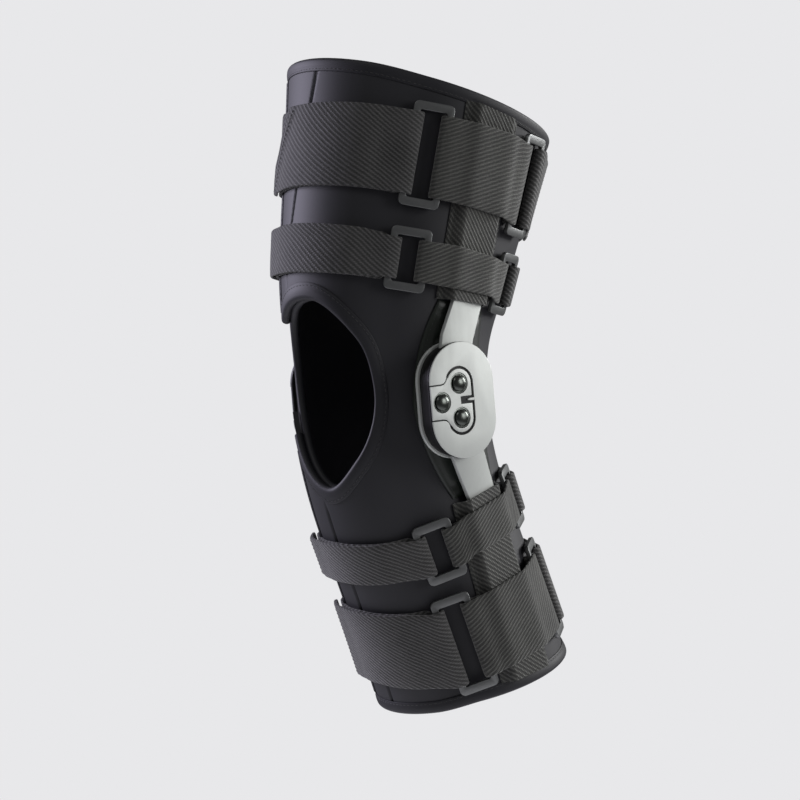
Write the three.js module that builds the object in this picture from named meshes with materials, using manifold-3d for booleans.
// Hinged knee brace for a left leg, wrap-around kind, in the flexed form that it is worn in.
// Millimetres, +Z up, -Y to the front of the knee, +X to the outer (lateral) side.
// The origin is the middle of the knee. A place on the leg is given as
// along (distance up the leg's bent axis), turn (degrees round it, 0 front, 90 lateral)
// and height (distance off the skin).

import * as THREE from 'three';
import { mergeVertices } from 'three/addons/utils/BufferGeometryUtils.js';
import Module from 'manifold-3d';

const { degToRad, radToDeg, lerp, clamp, smoothstep } = THREE.MathUtils;
const wasm = await Module();
wasm.setup();

// Leg that the brace is shaped for
const KNEE_HALF_DEPTH = 54.5;
const WIDTH_TO_DEPTH = 0.95;
const THIGH_TILT = degToRad(11.3);
const CALF_TILT = degToRad(23.2);
const BEND_ABOVE = 80;
const BEND_BELOW = 71;

// Sleeve
const THIGH_LENGTH = 180.5;
const CALF_LENGTH = 181.5;
const THIGH_RIM_DIP = 7.5;
const THIGH_RIM_DIP_TURN = -35;
const CALF_RIM_DIP = 6;
const SLEEVE_WALL = 3;
const TAPE_WALL = 0.6;
const TAPE_WIDTH = 7;
const MEDIAL_FLAP_EDGE = 20;
const LATERAL_FLAP_EDGE = -33;
const FLAP_RAMP_START = 58;
const FLAP_RAMP_END = 30;

// Opening over the kneecap
const OPENING_TURN = 5;
const OPENING_ALONG = 8;
const OPENING_HALF_WIDTH = 40.5;
const OPENING_HALF_HEIGHT = 45.5;

// Gaps between neighbours
const GAP = 0.3;
const TAPE_GAP = 0.7;
const STRAP_GAP = 0.6;

// Straps, side webbings, rings and stay pockets
const WEBBING_WALL = 1.8;
const POCKET_WALL = 1.2;
const POCKET_WIDTH = 37;
const RING_BAR = 4;
const RING_WALL = 2.6;
const RING_WIDTH = 24;
const RING_CORNER = 3;
const RING_SLOT_SPARE = 1.5;
const STRAP_TAIL = 34;
const WEBBING_TAIL_FRONT = 8;
const WEBBING_TAIL_REAR = 3;
const FOOT_WIDTH = 2.5;

// Hinge
const ARM_WIDTH = 22;
const ARM_WALL = 3;
const PAD_TURN = 93;
const PAD_WALL = 4.6;
const PAD_EDGE_WALL = 1.4;
const PAD_HALF_WIDTH = 25;
const PAD_END_HALF_WIDTH = 17;
const PLATE_WIDTH = 46;
const PLATE_HEIGHT = 68;
const BACK_PLATE_WALL = 2.2;
const CORE_WALL = 9;
const CORE_INSET = 1.4;
const FRONT_PLATE_WALL = 2.8;
const HINGE_SETBACK = -3;
const HINGE_LEAN = degToRad(-6);
const PIVOT_SPACING = 20;
const PIVOT_SETBACK = -2;
const THIRD_RIVET_SETBACK = -15;
const RIVET_RADIUS = 3.7;
const SHANK_RADIUS = 2;
const INSERT_ROUND = 8.4;
const GROOVE = 0.9;
const HEAD_CLEAR = 0.3;
const NECK_LENGTH = 14;
const ARM_TILT_UP = degToRad(8);
const ARM_TILT_DOWN = degToRad(24);
const ARM_LEAVE = 3;
const ARM_SHORT = 6;
const NOTCH_HALF = 2.2;
const NOTCH_DEPTH = 8;
const SHANK_CLEAR = 0.3;
const SLOT_CLEAR = 0.4;
const PLATE_BEVEL = 0.9;
const DOME_HEIGHT = 2.1;

// Leg half depth at shares of the sleeve's length up the thigh (positive) or down the calf,
// as a share of the half depth at the knee
const girthRows = [
  { share: -1, girth: 1.009 },
  { share: -0.72, girth: 0.982 },
  { share: -0.41, girth: 0.971 },
  { share: -0.165, girth: 0.983 },
  { share: 0, girth: 1 },
  { share: 0.194, girth: 1.05 },
  { share: 0.388, girth: 1.156 },
  { share: 0.61, girth: 1.253 },
  { share: 0.831, girth: 1.341 },
  { share: 1.042, girth: 1.437 },
];

// Inner outline of the kneecap opening, as shares of its half width and half height
const openingRows = [
  { across: 1, up: 0.1 },
  { across: 0.8, up: 0.6 },
  { across: 0.15, up: 1 },
  { across: -0.66, up: 0.84 },
  { across: -0.98, up: 0.25 },
  { across: -0.62, up: -0.6 },
  { across: 0.03, up: -1 },
  { across: 0.62, up: -0.73 },
  { across: 0.93, up: -0.35 },
];

// Strap levels, from the top down. front, ring and rear are the strap's middle, as shares of the
// way from the opening's tape to the rim (minus on the calf), at the front of the leg, at the
// front ring and behind. ring_turn and
// rear_turn are the middles of the two rings' slots, and free_turn the end of the loose end at
// the strap's lower and upper edge
const levels = [
  { name: 'thigh_upper', width: 48, front: 0.6255, ring: 0.6255, rear: 0.6255, ring_turn: 61.5,
    rear_turn: 27, free_low: -34, free_high: -9, lifted: 0.3 },
  { name: 'thigh_lower', width: 24, front: 0.1411, ring: 0.1291, rear: 0.1291, ring_turn: 61,
    rear_turn: 29, free_low: -42, free_high: -40, lifted: 2 },
  { name: 'calf_upper', width: 24, front: -0.2303, ring: -0.2727, rear: -0.2382, ring_turn: 62.5,
    rear_turn: 36, free_low: -38, free_high: -38, lifted: 2.5 },
  { name: 'calf_lower', width: 48, front: -0.6317, ring: -0.6966, rear: -0.6926, ring_turn: 58.5,
    rear_turn: 41, free_low: -36, free_high: -36, lifted: 2 },
];

// Middle line of each stay pocket: its turn at the hinge end and at the rim end
const pockets = [
  { name: 'thigh', near: 58, near_turn: 96.5, far_turn: 88, side: 1 },
  { name: 'calf', near: 60, near_turn: 99.5, far_turn: 90, side: -1 },
];

const colours = {
  neoprene: { color: 0x1d1e22, roughness: 0.85, metalness: 0 },
  tape: { color: 0x171618, roughness: 0.9, metalness: 0 },
  webbing: { color: 0x45453f, roughness: 0.9, metalness: 0 },
  strap: { color: 0x4a494c, roughness: 0.9, metalness: 0 },
  ring: { color: 0x4c4f52, roughness: 0.4, metalness: 0.8 },
  aluminium: { color: 0xcfd2cf, roughness: 0.35, metalness: 0.9 },
  plate: { color: 0xc9ccca, roughness: 0.45, metalness: 0.7 },
  core: { color: 0x151517, roughness: 0.5, metalness: 0 },
  pad: { color: 0x1c201e, roughness: 0.4, metalness: 0 },
  rivet: { color: 0x8d9092, roughness: 0.25, metalness: 1 },
};

const brace = new THREE.Group();
brace.name = 'hinged_knee_brace';

function add(name, geometry, finish) {
  const mesh = new THREE.Mesh(geometry, new THREE.MeshStandardMaterial(colours[finish]));
  mesh.name = name;
  brace.add(mesh);
  return mesh;
}

// Leg

// Smooth curve through a table's rows
function readRows(rows, key, at) {
  const xs = rows.map((row) => row.share);
  const ys = rows.map((row) => row[key]);
  const slope = (i) => {
    const low = Math.max(i - 1, 0);
    const high = Math.min(i + 1, rows.length - 1);
    return (ys[high] - ys[low]) / (xs[high] - xs[low]);
  };
  let i = 0;
  while (i < rows.length - 2 && at > xs[i + 1]) i += 1;
  const step = xs[i + 1] - xs[i];
  const t = (at - xs[i]) / step;
  const rise = (3 - 2 * t) * t * t;
  return ys[i] * (1 - rise) + ys[i + 1] * rise
    + step * t * (1 - t) * (slope(i) * (1 - t) - slope(i + 1) * t);
}

const kneeTilt = -CALF_TILT + (THIGH_TILT + CALF_TILT) * BEND_BELOW / (BEND_ABOVE + BEND_BELOW);
const bendPerLength = (THIGH_TILT + CALF_TILT) / (BEND_ABOVE + BEND_BELOW);

// Middle of the leg and the lean of its axis at a distance along it
function axisAt(along) {
  const bent = clamp(along, -BEND_BELOW, BEND_ABOVE);
  const tilt = kneeTilt + bendPerLength * bent;
  const straight = along - bent;
  return {
    y: (Math.cos(kneeTilt) - Math.cos(tilt)) / bendPerLength + straight * Math.sin(tilt),
    z: (Math.sin(tilt) - Math.sin(kneeTilt)) / bendPerLength + straight * Math.cos(tilt),
    tilt,
  };
}

function halfDepth(along) {
  const share = along > 0 ? along / THIGH_LENGTH : along / CALF_LENGTH;
  return KNEE_HALF_DEPTH * readRows(girthRows, 'girth', share);
}

const meanRadius = (along) => halfDepth(along) * (1 + WIDTH_TO_DEPTH) / 2 + SLEEVE_WALL;

// Point of the leg at a height off the skin
function spot(along, turn, height) {
  const deep = halfDepth(along);
  const wide = deep * WIDTH_TO_DEPTH;
  const { y, z, tilt } = axisAt(along);
  const angle = degToRad(turn);
  const out = new THREE.Vector2(Math.sin(angle) / wide, -Math.cos(angle) / deep).normalize();
  const across = wide * Math.sin(angle) + height * out.x;
  const back = -deep * Math.cos(angle) + height * out.y;
  return new THREE.Vector3(across, y + back * Math.cos(tilt), z - back * Math.sin(tilt));
}

const degrees = (along, length) => radToDeg(length / meanRadius(along));

const thighRim = (turn) => THIGH_LENGTH
  + THIGH_RIM_DIP * Math.cos(degToRad(turn - THIGH_RIM_DIP_TURN));
const calfRim = (turn) => -CALF_LENGTH + CALF_RIM_DIP * Math.cos(degToRad(turn));

// Place of a strap's middle, from its share of the way from the opening's tape to the rim
function lengthOf(share) {
  const side = Math.sign(share);
  const start = side * OPENING_ALONG + OPENING_HALF_HEIGHT + TAPE_WIDTH;
  return side * lerp(start, side > 0 ? THIGH_LENGTH : CALF_LENGTH, Math.abs(share));
}

// Solids from grids and sweeps

function solid(points, faces) {
  const geometry = new THREE.BufferGeometry();
  const flat = points.flatMap((p) => [p.x, p.y, p.z]);
  geometry.setAttribute('position', new THREE.Float32BufferAttribute(flat, 3));
  let volume = 0;
  for (const [a, b, c] of faces) {
    volume += points[a].dot(new THREE.Vector3().crossVectors(points[b], points[c]));
  }
  const outward = volume < 0 ? faces.map(([a, b, c]) => [a, c, b]) : faces;
  geometry.setIndex(outward.flat());
  geometry.computeVertexNormals();
  return geometry;
}

// Closed wall over a grid: corner(i, j, k) is column i, row j, on the inner (0) or outer (1) skin
function wall(columns, rows, corner) {
  const points = [];
  const faces = [];
  const at = (i, j, k) => (i * (rows + 1) + j) * 2 + k;
  const quad = (a, b, c, d) => faces.push([a, b, c], [a, c, d]);
  for (let i = 0; i <= columns; i += 1) {
    for (let j = 0; j <= rows; j += 1) points.push(corner(i, j, 0), corner(i, j, 1));
  }
  for (let i = 0; i < columns; i += 1) {
    for (let j = 0; j < rows; j += 1) {
      quad(at(i, j, 1), at(i + 1, j, 1), at(i + 1, j + 1, 1), at(i, j + 1, 1));
      quad(at(i, j, 0), at(i, j + 1, 0), at(i + 1, j + 1, 0), at(i + 1, j, 0));
    }
    quad(at(i, 0, 0), at(i + 1, 0, 0), at(i + 1, 0, 1), at(i, 0, 1));
    quad(at(i, rows, 0), at(i, rows, 1), at(i + 1, rows, 1), at(i + 1, rows, 0));
  }
  for (let j = 0; j < rows; j += 1) {
    quad(at(0, j, 0), at(0, j, 1), at(0, j + 1, 1), at(0, j + 1, 0));
    quad(at(columns, j, 0), at(columns, j + 1, 0), at(columns, j + 1, 1), at(columns, j, 1));
  }
  return solid(points, faces);
}

// Closed solid through rings of points that all follow one flat outline
function sweep(rings, outline) {
  const count = outline.length;
  const faces = [];
  const last = (rings.length - 1) * count;
  for (let i = 0; i < rings.length - 1; i += 1) {
    for (let k = 0; k < count; k += 1) {
      const a = i * count + k;
      const b = i * count + (k + 1) % count;
      faces.push([a, b, b + count], [a, b + count, a + count]);
    }
  }
  for (const [a, b, c] of THREE.ShapeUtils.triangulateShape(outline, [])) {
    faces.push([c, b, a], [last + a, last + b, last + c]);
  }
  return solid(rings.flat(), faces);
}

// Cuts and joins

function toManifold(geometry) {
  const bare = geometry.clone();
  bare.deleteAttribute('normal');
  bare.deleteAttribute('uv');
  const merged = mergeVertices(bare, 1e-4);
  return new wasm.Manifold(new wasm.Mesh({
    numProp: 3,
    vertProperties: new Float32Array(merged.attributes.position.array),
    triVerts: new Uint32Array(merged.index.array),
  }));
}

function fromManifold(manifold) {
  const mesh = manifold.getMesh();
  const geometry = new THREE.BufferGeometry();
  geometry.setAttribute('position', new THREE.BufferAttribute(mesh.vertProperties, 3));
  geometry.setIndex(new THREE.BufferAttribute(mesh.triVerts, 1));
  geometry.computeVertexNormals();
  return geometry;
}

function cut(geometry, ...tools) {
  let body = toManifold(geometry);
  for (const tool of tools) body = body.subtract(toManifold(tool));
  return fromManifold(body);
}

// Sleeve

const TAPE_LEG = TAPE_WALL + TAPE_GAP;
const FLAP_LIFT = SLEEVE_WALL + 2 * TAPE_LEG + GAP;
const SLEEVE_START = MEDIAL_FLAP_EDGE;
const SLEEVE_END = LATERAL_FLAP_EDGE - 360 + degrees(0, TAPE_LEG);
const SLEEVE_COLUMNS = 40;

// Height of the sleeve's inner face: the lateral flap climbs over the medial one. wound is the
// turn counted on from the medial flap's edge, round the back, to the lateral flap's edge
const columnTurn = (i) => lerp(SLEEVE_START, SLEEVE_END, i / SLEEVE_COLUMNS);

function flapLift(wound) {
  const place = (wound - SLEEVE_START) / (SLEEVE_END - SLEEVE_START) * SLEEVE_COLUMNS;
  const column = clamp(Math.floor(place), 0, SLEEVE_COLUMNS - 1);
  const [here, next] = [column, column + 1].map((i) => (
    smoothstep(-columnTurn(i), 360 - FLAP_RAMP_START, 360 - FLAP_RAMP_END)));
  return FLAP_LIFT * lerp(here, next, clamp(place - column, 0, 1));
}

// Rows of the sleeve: few where the leg is straight, more round the bend
function sleeveRows(low, high) {
  const spans = [[low, -BEND_BELOW, 3], [-BEND_BELOW, BEND_ABOVE, 10], [BEND_ABOVE, high, 3]];
  const rows = spans.flatMap(([from, to, count]) => Array.from({ length: count }, (_, i) => (
    lerp(from, to, i / count))));
  return [...rows, high];
}

function sleeveSheet() {
  return wall(SLEEVE_COLUMNS, sleeveRows(0, 1).length - 1, (i, j, k) => {
    const wound = columnTurn(i);
    const rows = sleeveRows(calfRim(wound) + TAPE_LEG, thighRim(wound) - TAPE_LEG);
    return spot(rows[j], wound, flapLift(wound) + k * SLEEVE_WALL);
  });
}

const openingCurve = new THREE.CatmullRomCurve3(
  openingRows.map((row) => new THREE.Vector3(row.across, row.up, 0)), true, 'catmullrom', 0.5);
const OPENING_STEPS = 36;

// Place on the opening's outline, moved outwards by a margin
function openingSpot(share, margin) {
  const turned = ((share % 1) + 1) % 1;
  const point = openingCurve.getPoint(turned);
  const ahead = openingCurve.getPoint((turned + 0.002) % 1);
  const size = new THREE.Vector2(OPENING_HALF_WIDTH, OPENING_HALF_HEIGHT);
  const run = new THREE.Vector2(ahead.x - point.x, ahead.y - point.y).multiply(size).normalize();
  const across = point.x * size.x + run.y * margin;
  const up = point.y * size.y - run.x * margin;
  return {
    along: OPENING_ALONG + up,
    turn: OPENING_TURN + degrees(0, across),
    out: new THREE.Vector2(run.y, -run.x),
  };
}

// Solid that fills the opening, past both faces of the flaps
function openingPlug(margin, low, high) {
  const points = [spot(OPENING_ALONG, OPENING_TURN, low), spot(OPENING_ALONG, OPENING_TURN, high)];
  const faces = [];
  for (let i = 0; i < OPENING_STEPS; i += 1) {
    const { along, turn } = openingSpot(i / OPENING_STEPS, margin);
    points.push(spot(along, turn, low), spot(along, turn, high));
    const here = 2 + 2 * i;
    const next = 2 + 2 * ((i + 1) % OPENING_STEPS);
    faces.push([0, next, here], [1, here + 1, next + 1]);
    faces.push([here, next, next + 1], [here, next + 1, here + 1]);
  }
  return solid(points, faces);
}

// Tape folded over a raw edge. Each stop has the edge's place, the height of the cloth's inner
// face as a function of the turn, and the direction into the cloth
function foldedTape(stops) {
  const high = SLEEVE_WALL + TAPE_LEG;
  const section = [
    [TAPE_WIDTH, high], [0, high], [0, -TAPE_LEG], [TAPE_WIDTH, -TAPE_LEG],
    [TAPE_WIDTH, -TAPE_GAP], [TAPE_WALL, -TAPE_GAP], [TAPE_WALL, SLEEVE_WALL + TAPE_GAP],
    [TAPE_WIDTH, SLEEVE_WALL + TAPE_GAP],
  ].map(([into, height]) => new THREE.Vector2(into, height));
  const rings = stops.map((stop) => section.map((corner) => {
    const turn = stop.turn + degrees(stop.along, stop.into.x * corner.x);
    return spot(stop.along + stop.into.y * corner.x, turn, stop.lift(turn) + corner.y);
  }));
  return sweep(rings, section);
}

function rimTape(rim, into) {
  const stops = [];
  for (let i = 0; i <= SLEEVE_COLUMNS; i += 1) {
    const turn = columnTurn(i);
    stops.push({ along: rim(turn), turn, lift: flapLift, into: new THREE.Vector2(0, into) });
  }
  return foldedTape(stops);
}

// Share of the opening's outline where it crosses a turn, searched from a start upwards
function openingShareAt(turn, from, to) {
  let low = from;
  let high = to;
  const side = openingSpot(low, 0).turn < turn;
  for (let i = 0; i < 30; i += 1) {
    const middle = (low + high) / 2;
    if ((openingSpot(middle, 0).turn < turn) === side) low = middle;
    else high = middle;
  }
  return low;
}

function openingTape(from, to, lift) {
  const first = Math.ceil(from * OPENING_STEPS + 0.3);
  const last = Math.floor(to * OPENING_STEPS - 0.3);
  const between = Array.from({ length: last - first + 1 }, (_, i) => (first + i) / OPENING_STEPS);
  return foldedTape([from, ...between, to].map((share) => {
    const place = openingSpot(share, 0);
    return { ...place, lift, into: place.out };
  }));
}

function flapTape(from, to) {
  const rows = sleeveRows(calfRim(LATERAL_FLAP_EDGE), thighRim(LATERAL_FLAP_EDGE));
  const between = rows.filter((row) => row > from + 2 && row < to - 2);
  return foldedTape([from, ...between, to].map((along) => ({
    along, turn: LATERAL_FLAP_EDGE, lift: () => FLAP_LIFT, into: new THREE.Vector2(1, 0),
  })));
}

add('sleeve', cut(sleeveSheet(), openingPlug(TAPE_LEG + GAP, -20, 30)), 'neoprene');
add('thigh_rim_tape', rimTape(thighRim, -1), 'tape');
add('calf_rim_tape', rimTape(calfRim, 1), 'tape');

// The opening's outline runs from its lateral side over the top, the medial side and the bottom
const OPENING_TOP = 0.22;
const OPENING_BOTTOM = 0.67;
const edgeOver = openingShareAt(LATERAL_FLAP_EDGE + degrees(0, TAPE_WIDTH + GAP), 0.25, 0.42);
const edgeUnder = openingShareAt(LATERAL_FLAP_EDGE + degrees(0, TAPE_WIDTH + GAP), 0.42, 0.64);
const lateralLift = (turn) => flapLift(turn - 360);
add('opening_tape_lateral', openingTape(edgeUnder - 1, edgeOver, lateralLift), 'tape');
const tuckOver = openingShareAt(MEDIAL_FLAP_EDGE - degrees(0, GAP), OPENING_TOP - 0.12, OPENING_TOP);
const tuckUnder = openingShareAt(MEDIAL_FLAP_EDGE - degrees(0, GAP), OPENING_BOTTOM, 0.8);
add('opening_tape_medial', openingTape(tuckOver, tuckUnder, () => 0), 'tape');
const overSpot = openingSpot(edgeOver, 0).along;
const underSpot = openingSpot(edgeUnder, 0).along;
const rimClear = TAPE_WIDTH + 2 * GAP;
add('flap_tape_thigh', flapTape(overSpot + 1.3 * TAPE_WIDTH,
  thighRim(LATERAL_FLAP_EDGE) - rimClear), 'tape');
add('flap_tape_calf', flapTape(calfRim(LATERAL_FLAP_EDGE) + rimClear,
  underSpot - 2 * TAPE_WIDTH), 'tape');

// Stay pockets: webbing sewn to the sleeve along both edges, with an arm in the tunnel

const TUNNEL_CLEAR = 2 * GAP;
const ARM_HEIGHT = SLEEVE_WALL + 2 * GAP;
const MOUTH_RISE = 1.4;
const MOUTH_LENGTH = 18;

const pocketEnd = (pocket, turn) => (pocket.side > 0
  ? thighRim(turn) - TAPE_WIDTH - 2 * GAP
  : calfRim(turn) + TAPE_WIDTH + 2 * GAP);

// Turn of a pocket's middle line at a distance along the leg
function pocketTurn(pocket, along) {
  const far = pocket.side > 0 ? THIGH_LENGTH : CALF_LENGTH;
  const share = (Math.abs(along) - pocket.near) / (far - pocket.near);
  return lerp(pocket.near_turn, pocket.far_turn, share);
}

// Height of an arm's inner face: it climbs towards the hinge, where the pad comes under it
function armHeight(pocket, along) {
  const near = 1 - smoothstep(Math.abs(along), pocket.near, pocket.near + MOUTH_LENGTH);
  return ARM_HEIGHT + MOUTH_RISE * near;
}

// Height of a pocket's inner face at a length off its middle line
function tunnelHeight(pocket, along, off) {
  const foot = SLEEVE_WALL + GAP;
  const top = armHeight(pocket, along) + ARM_WALL + GAP;
  const flat = ARM_WIDTH / 2 + TUNNEL_CLEAR;
  const slope = POCKET_WIDTH / 2 - FOOT_WIDTH;
  const tangent = Math.min(Math.abs(off), flat) ** 2 / (2 * meanRadius(along));
  return lerp(top + tangent, foot, clamp((Math.abs(off) - flat) / (slope - flat), 0, 1));
}

// Lengths off a pocket's middle line where its section turns
const pocketOffs = [ARM_WIDTH / 2 + TUNNEL_CLEAR, POCKET_WIDTH / 2 - FOOT_WIDTH, POCKET_WIDTH / 2]
  .flatMap((off) => [off, -off])
  .sort((a, b) => a - b);
const lengthShares = [0, 0.08, 0.16, 0.4, 0.7, 1];

function stayPocket(pocket, mirror) {
  const near = pocket.side * pocket.near;
  return wall(pocketOffs.length - 1, lengthShares.length - 1, (i, j, k) => {
    const off = pocketOffs[i];
    const end = pocketEnd(pocket, mirror * (pocket.far_turn + degrees(near, off)));
    const along = lerp(near, end, lengthShares[j]);
    const turn = pocketTurn(pocket, along) + degrees(along, off);
    return spot(along, mirror * turn, tunnelHeight(pocket, along, off) + k * POCKET_WALL);
  });
}

// Height of the top of what lies on the sleeve at a place, under the straps
function topAt(along, wound) {
  const turn = wound < -180 ? wound + 360 : wound;
  const pocket = pockets[along > 0 ? 0 : 1];
  const off = (Math.abs(turn) - pocketTurn(pocket, along)) / degrees(along, 1);
  if (Math.abs(off) < POCKET_WIDTH / 2 + GAP) return tunnelHeight(pocket, along, off) + POCKET_WALL;
  if (turn < LATERAL_FLAP_EDGE - 1) return SLEEVE_WALL;
  const onTape = turn < LATERAL_FLAP_EDGE + degrees(along, TAPE_WIDTH + GAP);
  return flapLift(turn - 360) + SLEEVE_WALL + (onTape ? TAPE_LEG : 0);
}

// Hinge, drawn on its own plane (back, up, out) and set against its side of the knee

const CORE_BACK = BACK_PLATE_WALL + GAP;
const FRONT_PLATE_BACK = CORE_BACK + CORE_WALL + GAP;
const RIVET_SEAT = FRONT_PLATE_BACK + FRONT_PLATE_WALL + GAP;
const ARM_BACK = CORE_BACK + (CORE_WALL - ARM_WALL) / 2;
const hingeFace = KNEE_HALF_DEPTH * WIDTH_TO_DEPTH + SLEEVE_WALL + GAP + PAD_WALL + 2 * GAP;
const pivotUp = PIVOT_SPACING / 2;
const rivets = [
  { name: 'rivet_upper', back: PIVOT_SETBACK, up: pivotUp },
  { name: 'rivet_lower', back: PIVOT_SETBACK, up: -pivotUp },
  { name: 'rivet_front', back: THIRD_RIVET_SETBACK, up: 0 },
];

function hingeSpot(back, up, out, mirror) {
  const turnedBack = back * Math.cos(HINGE_LEAN) + up * Math.sin(HINGE_LEAN);
  const turnedUp = up * Math.cos(HINGE_LEAN) - back * Math.sin(HINGE_LEAN);
  return new THREE.Vector3(mirror * (hingeFace + out), HINGE_SETBACK + turnedBack, turnedUp);
}

function arc(back, up, radius, from, to, steps) {
  return Array.from({ length: steps + 1 }, (_, i) => {
    const angle = lerp(from, to, i / steps);
    return new THREE.Vector2(back + radius * Math.cos(angle), up + radius * Math.sin(angle));
  });
}

// Outline with round ends, inset all round
function obround(inset) {
  const radius = PLATE_WIDTH / 2 - inset;
  const reach = (PLATE_HEIGHT - PLATE_WIDTH) / 2;
  return [...arc(0, reach, radius, 0, Math.PI, 8), ...arc(0, -reach, radius, Math.PI, 2 * Math.PI, 8)];
}

// Sweeps one outline from its place at a distance out to another outline of as many points
function slab(near, far, out, thick, mirror) {
  const rings = [near.map((p) => hingeSpot(p.x, p.y, out, mirror))];
  rings.push(far.map((p) => hingeSpot(p.x, p.y, out + thick, mirror)));
  return sweep(rings, near);
}

function easedSlab(out, thick, mirror) {
  const rings = [[0, 0], [0, thick - PLATE_BEVEL / 2], [PLATE_BEVEL, thick]].map(([inset, rise]) => (
    obround(inset).map((p) => hingeSpot(p.x, p.y, out + rise, mirror))));
  return sweep(rings, obround(0));
}

// Outline of the insert that holds the rivets: open at the front edge and round each pivot
function insertOutline(margin, notched) {
  const radius = INSERT_ROUND + margin;
  const edge = pivotUp - GAP + margin;
  const front = -PLATE_WIDTH / 2 + GAP - (margin > 0 ? RING_BAR : 0);
  const side = PIVOT_SETBACK + radius;
  const notch = notched ? [[side, NOTCH_HALF], [side - NOTCH_DEPTH, NOTCH_HALF],
    [side - NOTCH_DEPTH, -NOTCH_HALF], [side, -NOTCH_HALF]] : [];
  return [
    new THREE.Vector2(front, edge),
    ...arc(PIVOT_SETBACK, pivotUp, radius, Math.PI * 0.97, 0, 7),
    ...notch.map(([x, y]) => new THREE.Vector2(x, y)),
    ...arc(PIVOT_SETBACK, -pivotUp, radius, 0, -Math.PI * 0.97, 7),
    new THREE.Vector2(front, -edge),
  ].reverse();
}

const SHANK_SIDES = 6;
const round = (radius, rivet) => arc(rivet.back, rivet.up, radius, 0, 2 * Math.PI, SHANK_SIDES)
  .slice(0, SHANK_SIDES);
const shank = (rivet, mirror) => {
  const outline = round(SHANK_RADIUS + SHANK_CLEAR, rivet);
  return slab(outline, outline, CORE_BACK - 1, RIVET_SEAT, mirror);
};

// Dome on the insert's face with its shank down to the back plate
function rivetSolid(rivet, mirror) {
  const profile = [[SHANK_RADIUS, CORE_BACK], [SHANK_RADIUS, RIVET_SEAT], [RIVET_RADIUS, RIVET_SEAT],
    [0.92 * RIVET_RADIUS, RIVET_SEAT + 0.45 * DOME_HEIGHT], [RIVET_RADIUS / 2, RIVET_SEAT + DOME_HEIGHT]];
  const rings = profile.map(([radius, out]) => (
    round(radius, rivet).map((p) => hingeSpot(p.x, p.y, out, mirror))));
  return sweep(rings, round(SHANK_RADIUS, rivet));
}

// Stops along an arm: the round head on its pivot, the neck, the way out of the housing and,
// from the pocket's mouth on, the leg's own curve
function headStops(pocket, mirror, clear) {
  const head = pivotUp - HEAD_CLEAR / 2 - GAP / 2 + clear;
  const half = ARM_WIDTH / 2 + clear;
  const tilt = pocket.side > 0 ? ARM_TILT_UP : Math.PI - ARM_TILT_DOWN;
  const pivot = hingeSpot(PIVOT_SETBACK, pocket.side * pivotUp, ARM_BACK + ARM_WALL / 2, mirror);
  const run = new THREE.Vector3(0, Math.sin(tilt), Math.cos(tilt));
  const leave = PLATE_HEIGHT / 2 - pivotUp + ARM_LEAVE;
  const round = [20, 45, 70, 90].map((angle) => [-head * Math.cos(degToRad(angle)),
    head * Math.sin(degToRad(angle))]);
  return [...round, [0.7 * NECK_LENGTH, head], [NECK_LENGTH, half], [leave, half]]
    .map(([distance, wide]) => ({
      middle: pivot.clone().addScaledVector(run, distance),
      side: new THREE.Vector3(0, run.z, -run.y).multiplyScalar(pocket.side),
      out: new THREE.Vector3(mirror, 0, 0),
      half: wide,
    }));
}

function pocketStops(pocket, mirror) {
  const near = pocket.side * pocket.near;
  const end = pocketEnd(pocket, mirror * pocket.far_turn) - pocket.side * ARM_SHORT;
  return lengthShares.map((share) => {
    const along = lerp(near, end, share);
    const turn = mirror * pocketTurn(pocket, along);
    const height = armHeight(pocket, along) + ARM_WALL / 2;
    const middle = spot(along, turn, height);
    return {
      middle,
      side: spot(along, turn + mirror, height).sub(middle).normalize(),
      out: spot(along, turn, height + 1).sub(middle).normalize(),
      half: ARM_WIDTH / 2,
    };
  });
}

function bar(stops, thick) {
  const section = [[-1, -1], [1, -1], [1, 1], [-1, 1]].map(([x, y]) => new THREE.Vector2(x, y));
  const rings = stops.map((stop) => section.map((corner) => stop.middle.clone()
    .addScaledVector(stop.side, corner.x * stop.half)
    .addScaledVector(stop.out, corner.y * thick / 2)));
  return sweep(rings, section);
}

// Pad behind the hinge: a lens of padded leathercloth, widest behind the housing
function hingePad(mirror) {
  const columns = 6;
  const rows = 6;
  const reach = Math.min(pockets[0].near, pockets[1].near) - 2 * GAP;
  return wall(columns, rows, (i, j, k) => {
    const up = 2 * j / rows - 1;
    const across = 2 * i / columns - 1;
    const along = up * reach;
    const wide = lerp(PAD_HALF_WIDTH, PAD_END_HALF_WIDTH, up * up);
    const full = (1 - up ** 4) * (1 - across ** 4);
    const top = lerp(PAD_EDGE_WALL, PAD_WALL, full);
    const pocket = pockets[along > 0 ? 0 : 1];
    const turn = lerp(PAD_TURN, pocketTurn(pocket, pocket.side * pocket.near), Math.abs(up));
    const point = spot(along, mirror * (turn + degrees(along, across * wide)),
      SLEEVE_WALL + GAP + k * top);
    const pressed = hingeFace - 2 * GAP + Math.max(0, Math.abs(point.z) - PLATE_HEIGHT / 2 - 10) / 2;
    point.x = clamp(point.x, -pressed, pressed);
    return point;
  });
}

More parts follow.
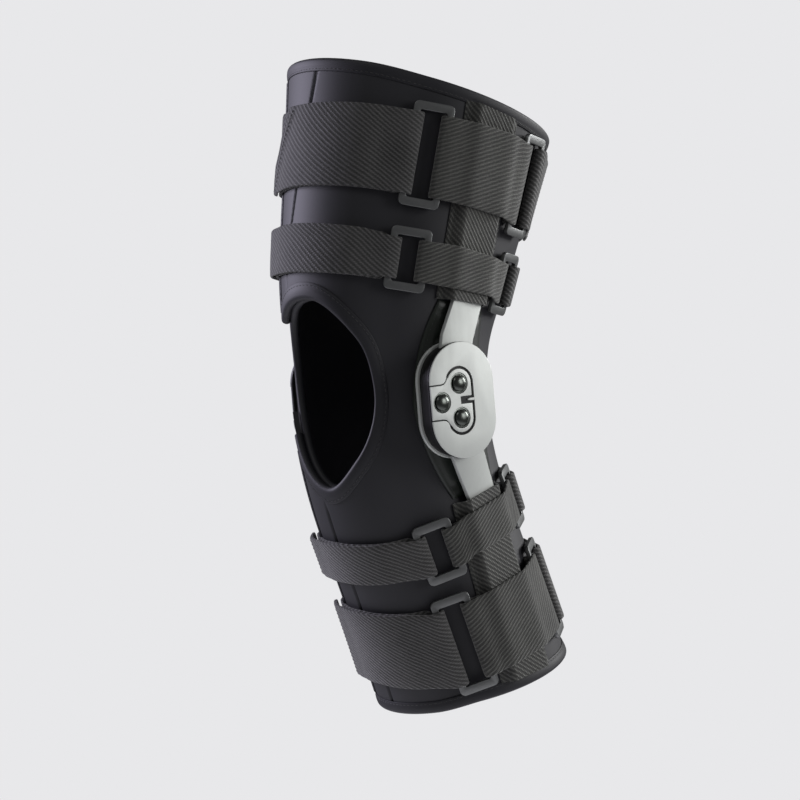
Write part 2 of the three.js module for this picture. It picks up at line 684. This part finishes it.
for (const [mirror, side] of [[1, 'lateral'], [-1, 'medial']]) {
  add(`hinge_pad_${side}`, hingePad(mirror), 'pad');
  add(`hinge_back_plate_${side}`, slab(obround(0), obround(0), 0, BACK_PLATE_WALL, mirror), 'plate');
  const heads = pockets.map((pocket) => bar(headStops(pocket, mirror, SLOT_CLEAR),
    ARM_WALL + 2 * SLOT_CLEAR));
  const shanks = rivets.map((rivet) => shank(rivet, mirror));
  const coreLine = obround(CORE_INSET);
  const core = slab(coreLine, coreLine, CORE_BACK, CORE_WALL, mirror);
  add(`hinge_core_${side}`, cut(core, ...heads, ...shanks), 'core');
  const hole = insertOutline(GROOVE, false);
  const opening = slab(hole, hole, FRONT_PLATE_BACK - 1, FRONT_PLATE_WALL + 2, mirror);
  const front = easedSlab(FRONT_PLATE_BACK, FRONT_PLATE_WALL, mirror);
  add(`hinge_front_plate_${side}`, cut(front, opening), 'plate');
  const insertLine = insertOutline(0, true);
  const insert = slab(insertLine, insertLine, FRONT_PLATE_BACK, FRONT_PLATE_WALL, mirror);
  add(`hinge_insert_${side}`, cut(insert, ...shanks), 'plate');
  for (const rivet of rivets) add(`${rivet.name}_${side}`, rivetSolid(rivet, mirror), 'rivet');
  for (const [i, pocket] of pockets.entries()) {
    const arm = bar([...headStops(pocket, mirror, 0), ...pocketStops(pocket, mirror)], ARM_WALL);
    add(`${pocket.name}_arm_${side}`, cut(arm, shanks[i]), 'aluminium');
    add(`${pocket.name}_pocket_${side}`, stayPocket(pocket, mirror), 'webbing');
  }
}

// Rings: flat oblong loops that stand on the strap under them

// Middle of a strap level along the leg at a turn
function levelMiddle(level, wound) {
  const turn = wound < -180 ? wound + 360 : wound;
  const [front, ring, rear] = [level.front, level.ring, level.rear].map(lengthOf);
  if (turn < 0) return lerp(rear, front, smoothstep(turn, -180, -60));
  if (turn < level.ring_turn) return lerp(front, ring, turn / level.ring_turn);
  return lerp(ring, rear, smoothstep(turn, level.ring_turn, 130));
}

const barMiddle = (RING_WIDTH - RING_BAR) / 2;
const FOLD_RADIUS = RING_WALL / 2 + GAP + WEBBING_WALL / 2;
const FOLD_SETBACK = 1.7;
const STRAP_STEP = 10;
const STRAP_RAMP = 14;
const FLAP_SLOPE = 12;

// A ring's place and its own frame: across (round the leg), up (along the leg) and out
function ringOf(level, rear) {
  const pocket = pockets[lengthOf(level.ring) > 0 ? 0 : 1];
  const turnAt = (along) => (rear ? pocketTurn(pocket, along) + level.rear_turn : level.ring_turn);
  const along = levelMiddle(level, turnAt(lengthOf(level.ring)));
  const turn = turnAt(along);
  const reach = level.width / 2;
  const tail = rear ? WEBBING_TAIL_REAR : 0;
  const tops = [-barMiddle - tail, 0, barMiddle].flatMap((x) => [-1, 0, 1].map((y) => {
    const place = along + y * reach;
    return topAt(place, turnAt(place) + degrees(place, x)) - Math.max(0, Math.abs(x) - barMiddle) / 8;
  }));
  const base = Math.max(...tops) + STRAP_GAP;
  const height = base + WEBBING_WALL + GAP + RING_WALL / 2;
  const lying = height - barMiddle ** 2 / (2 * meanRadius(along));
  const [low, high] = [-reach, reach].map((step) => (
    spot(along + step, turnAt(along + step), lying)));
  const middle = low.clone().add(high).divideScalar(2);
  const up = high.sub(low).normalize();
  const round = spot(along, turn + 1, lying).sub(spot(along, turn - 1, lying));
  const out = new THREE.Vector3().crossVectors(round, up).normalize();
  const across = new THREE.Vector3().crossVectors(up, out);
  return { level, turnAt, along, turn, base, height, middle, across, up, out };
}

function roundedOblong(width, height, corner, steps) {
  const [x, y] = [width / 2 - corner, height / 2 - corner];
  const quarter = Math.PI / 2;
  return [
    ...arc(x, y, corner, 0, quarter, steps),
    ...arc(-x, y, corner, quarter, 2 * quarter, steps),
    ...arc(-x, -y, corner, 2 * quarter, 3 * quarter, steps),
    ...arc(x, -y, corner, 3 * quarter, 4 * quarter, steps),
  ];
}

function ringSolid(ring) {
  const inner = ring.level.width + 2 * RING_SLOT_SPARE;
  const outline = roundedOblong(RING_WIDTH, inner + 2 * RING_BAR, RING_CORNER, 2);
  const shape = new THREE.Shape(outline);
  shape.holes.push(new THREE.Path(roundedOblong(RING_WIDTH - 2 * RING_BAR, inner, 1, 1).reverse()));
  const geometry = new THREE.ExtrudeGeometry(shape, { depth: RING_WALL, bevelEnabled: false });
  const { across, up, out, middle } = ring;
  geometry.translate(0, 0, -RING_WALL / 2);
  geometry.applyMatrix4(new THREE.Matrix4().makeBasis(across, up, out).setPosition(middle));
  return geometry;
}

// Ribbons: straps and side webbings. A stop gives the middle of the ribbon's wall at a share of
// its width

function ribbon(stops) {
  return wall(stops.length - 1, 1, (i, j, k) => {
    const here = stops[i](j);
    const run = stops[Math.min(i + 1, stops.length - 1)](j).sub(stops[Math.max(i - 1, 0)](j));
    const up = stops[i](1).sub(stops[i](0));
    return here.add(run.cross(up).setLength((k - 0.5) * WEBBING_WALL));
  });
}

// Stop on the leg's own curve. nominal is the turn that gives the strap's place along the leg
const legStop = (level, nominal, place) => (share) => {
  const along = levelMiddle(level, nominal) + (share - 0.5) * level.width;
  const { turn, height } = place(along, share);
  return spot(along, turn, height);
};

// Stop at a length off a ring's middle and a lift off its middle plane
const ringStop = (ring, off, lift) => (share) => ring.middle.clone()
  .addScaledVector(ring.across, off)
  .addScaledVector(ring.up, (share - 0.5) * ring.level.width)
  .addScaledVector(ring.out, lift);

// Half turn round a ring's bar on the slot's side, from under the bar to over it
function foldStops(ring, side) {
  return Array.from({ length: 7 }, (_, i) => {
    const angle = Math.PI * i / 6;
    const off = side * (barMiddle - FOLD_SETBACK - FOLD_RADIUS * Math.sin(angle));
    return ringStop(ring, off, -FOLD_RADIUS * Math.cos(angle));
  });
}

const ON_TOP = STRAP_GAP + WEBBING_WALL / 2;

// Stops over a pocket on its side of the leg, in the order that the ribbon crosses them
function pocketCrossing(level, pocket, mirror, offs) {
  return offs.map((off) => legStop(level, mirror * pocket.near_turn, (along) => ({
    turn: mirror * (pocketTurn(pocket, along) + degrees(along, off)),
    height: tunnelHeight(pocket, along, off) + POCKET_WALL + ON_TOP + GAP,
  })));
}

const pocketFlat = ARM_WIDTH / 2 + TUNNEL_CLEAR;

function sideWebbing(level, front, rear) {
  const pocket = pockets[front.along > 0 ? 0 : 1];
  return ribbon([
    ringStop(front, barMiddle + WEBBING_TAIL_FRONT, -FOLD_RADIUS - 0.2),
    ...foldStops(front, 1),
    ringStop(front, barMiddle + RING_BAR / 2, FOLD_RADIUS),
    ...pocketCrossing(level, pocket, 1, [-pocketFlat, pocketFlat]),
    ringStop(rear, -barMiddle - RING_BAR / 2, FOLD_RADIUS),
    ...foldStops(rear, -1).reverse(),
    ringStop(rear, -barMiddle - WEBBING_TAIL_REAR, -FOLD_RADIUS),
  ]);
}

// Turns from one turn down to another, with the sleeve's own columns between
function turnsBetween(from, to) {
  const columns = Array.from({ length: SLEEVE_COLUMNS + 1 }, (_, i) => columnTurn(i));
  const over = columns.map((turn) => turn + 360).filter((turn) => turn >= LATERAL_FLAP_EDGE);
  const under = columns.filter((turn) => turn < LATERAL_FLAP_EDGE);
  const between = [...over, ...under].filter((turn) => turn < from - 1.2 && turn > to + 1.2);
  return [from, ...between.sort((a, b) => b - a), to];
}

// Height of a strap's middle over what it lies on. It slopes down off the flap's edge
function lyingHeight(along, turn) {
  const edge = LATERAL_FLAP_EDGE - 0.8;
  if (turn >= edge || turn < edge - FLAP_SLOPE) return topAt(along, turn) + ON_TOP;
  const share = (edge - turn) / FLAP_SLOPE;
  return lerp(topAt(along, LATERAL_FLAP_EDGE), SLEEVE_WALL, share) + ON_TOP;
}

function strap(level, front, rear) {
  const pocket = pockets[front.along > 0 ? 0 : 1];
  const edge = LATERAL_FLAP_EDGE;
  const lying = (turn) => legStop(level, turn, (along) => (
    { turn, height: lyingHeight(along, turn) }));
  const climb = WEBBING_WALL + GAP;
  const rampTurn = level.ring_turn - degrees(front.along, barMiddle + STRAP_RAMP);
  const slotTurn = level.ring_turn - degrees(front.along, barMiddle + RING_BAR);
  const tapeTurn = edge + degrees(front.along, TAPE_WIDTH + 2 * GAP);
  const medial = pocketTurn(pocket, front.along);
  const away = degrees(front.along, POCKET_WIDTH / 2);
  const foot = edge - 0.8 - FLAP_SLOPE;
  const outer = [1, 0.85, 0.68, 0.5, 0.33, 0.16, 0].map((part) => legStop(level,
    lerp(rampTurn, level.free_low, part), (along, share) => {
      const turn = lerp(rampTurn, lerp(level.free_low, level.free_high, share), part);
      const height = lyingHeight(along, Math.max(turn, foot)) + climb + level.lifted * part ** 4;
      return { turn, height };
    }));
  const tailEnd = rear.turn - 360 + degrees(rear.along, barMiddle + STRAP_TAIL);
  const slotEnd = rear.turn - 360 + degrees(rear.along, barMiddle + RING_BAR);
  const tailStart = rear.turn - 360 + degrees(rear.along, barMiddle + STRAP_RAMP);
  return ribbon([
    ...outer,
    ringStop(front, -barMiddle - RING_BAR / 2, FOLD_RADIUS),
    ...foldStops(front, -1).reverse(),
    ringStop(front, -barMiddle - RING_BAR / 2, -FOLD_RADIUS),
    ...turnsBetween(slotTurn, tapeTurn + 2).map(lying),
    ...[tapeTurn - 0.5, edge, edge - 0.8, foot].map(lying),
    ...turnsBetween(foot - STRAP_STEP, -medial + away + STRAP_STEP).map(lying),
    ...pocketCrossing(level, pocket, -1, pocketOffs.slice(1, -1)),
    ...turnsBetween(-medial - away - STRAP_STEP, slotEnd).map(lying),
    ringStop(rear, barMiddle + RING_BAR / 2, -FOLD_RADIUS),
    ...foldStops(rear, 1),
    ringStop(rear, barMiddle + RING_BAR / 2, FOLD_RADIUS),
    ...[tailStart, (tailStart + tailEnd) / 2, tailEnd].map((turn) => legStop(level, turn, (along) => (
      { turn, height: lyingHeight(along, turn) + climb }))),
  ]);
}

for (const level of levels) {
  const front = ringOf(level, false);
  const rear = ringOf(level, true);
  add(`front_ring_${level.name}`, ringSolid(front), 'ring');
  add(`rear_ring_${level.name}`, ringSolid(rear), 'ring');
  add(`side_webbing_${level.name}`, sideWebbing(level, front, rear), 'webbing');
  add(`strap_${level.name}`, strap(level, front, rear), 'strap');
}

export default brace;
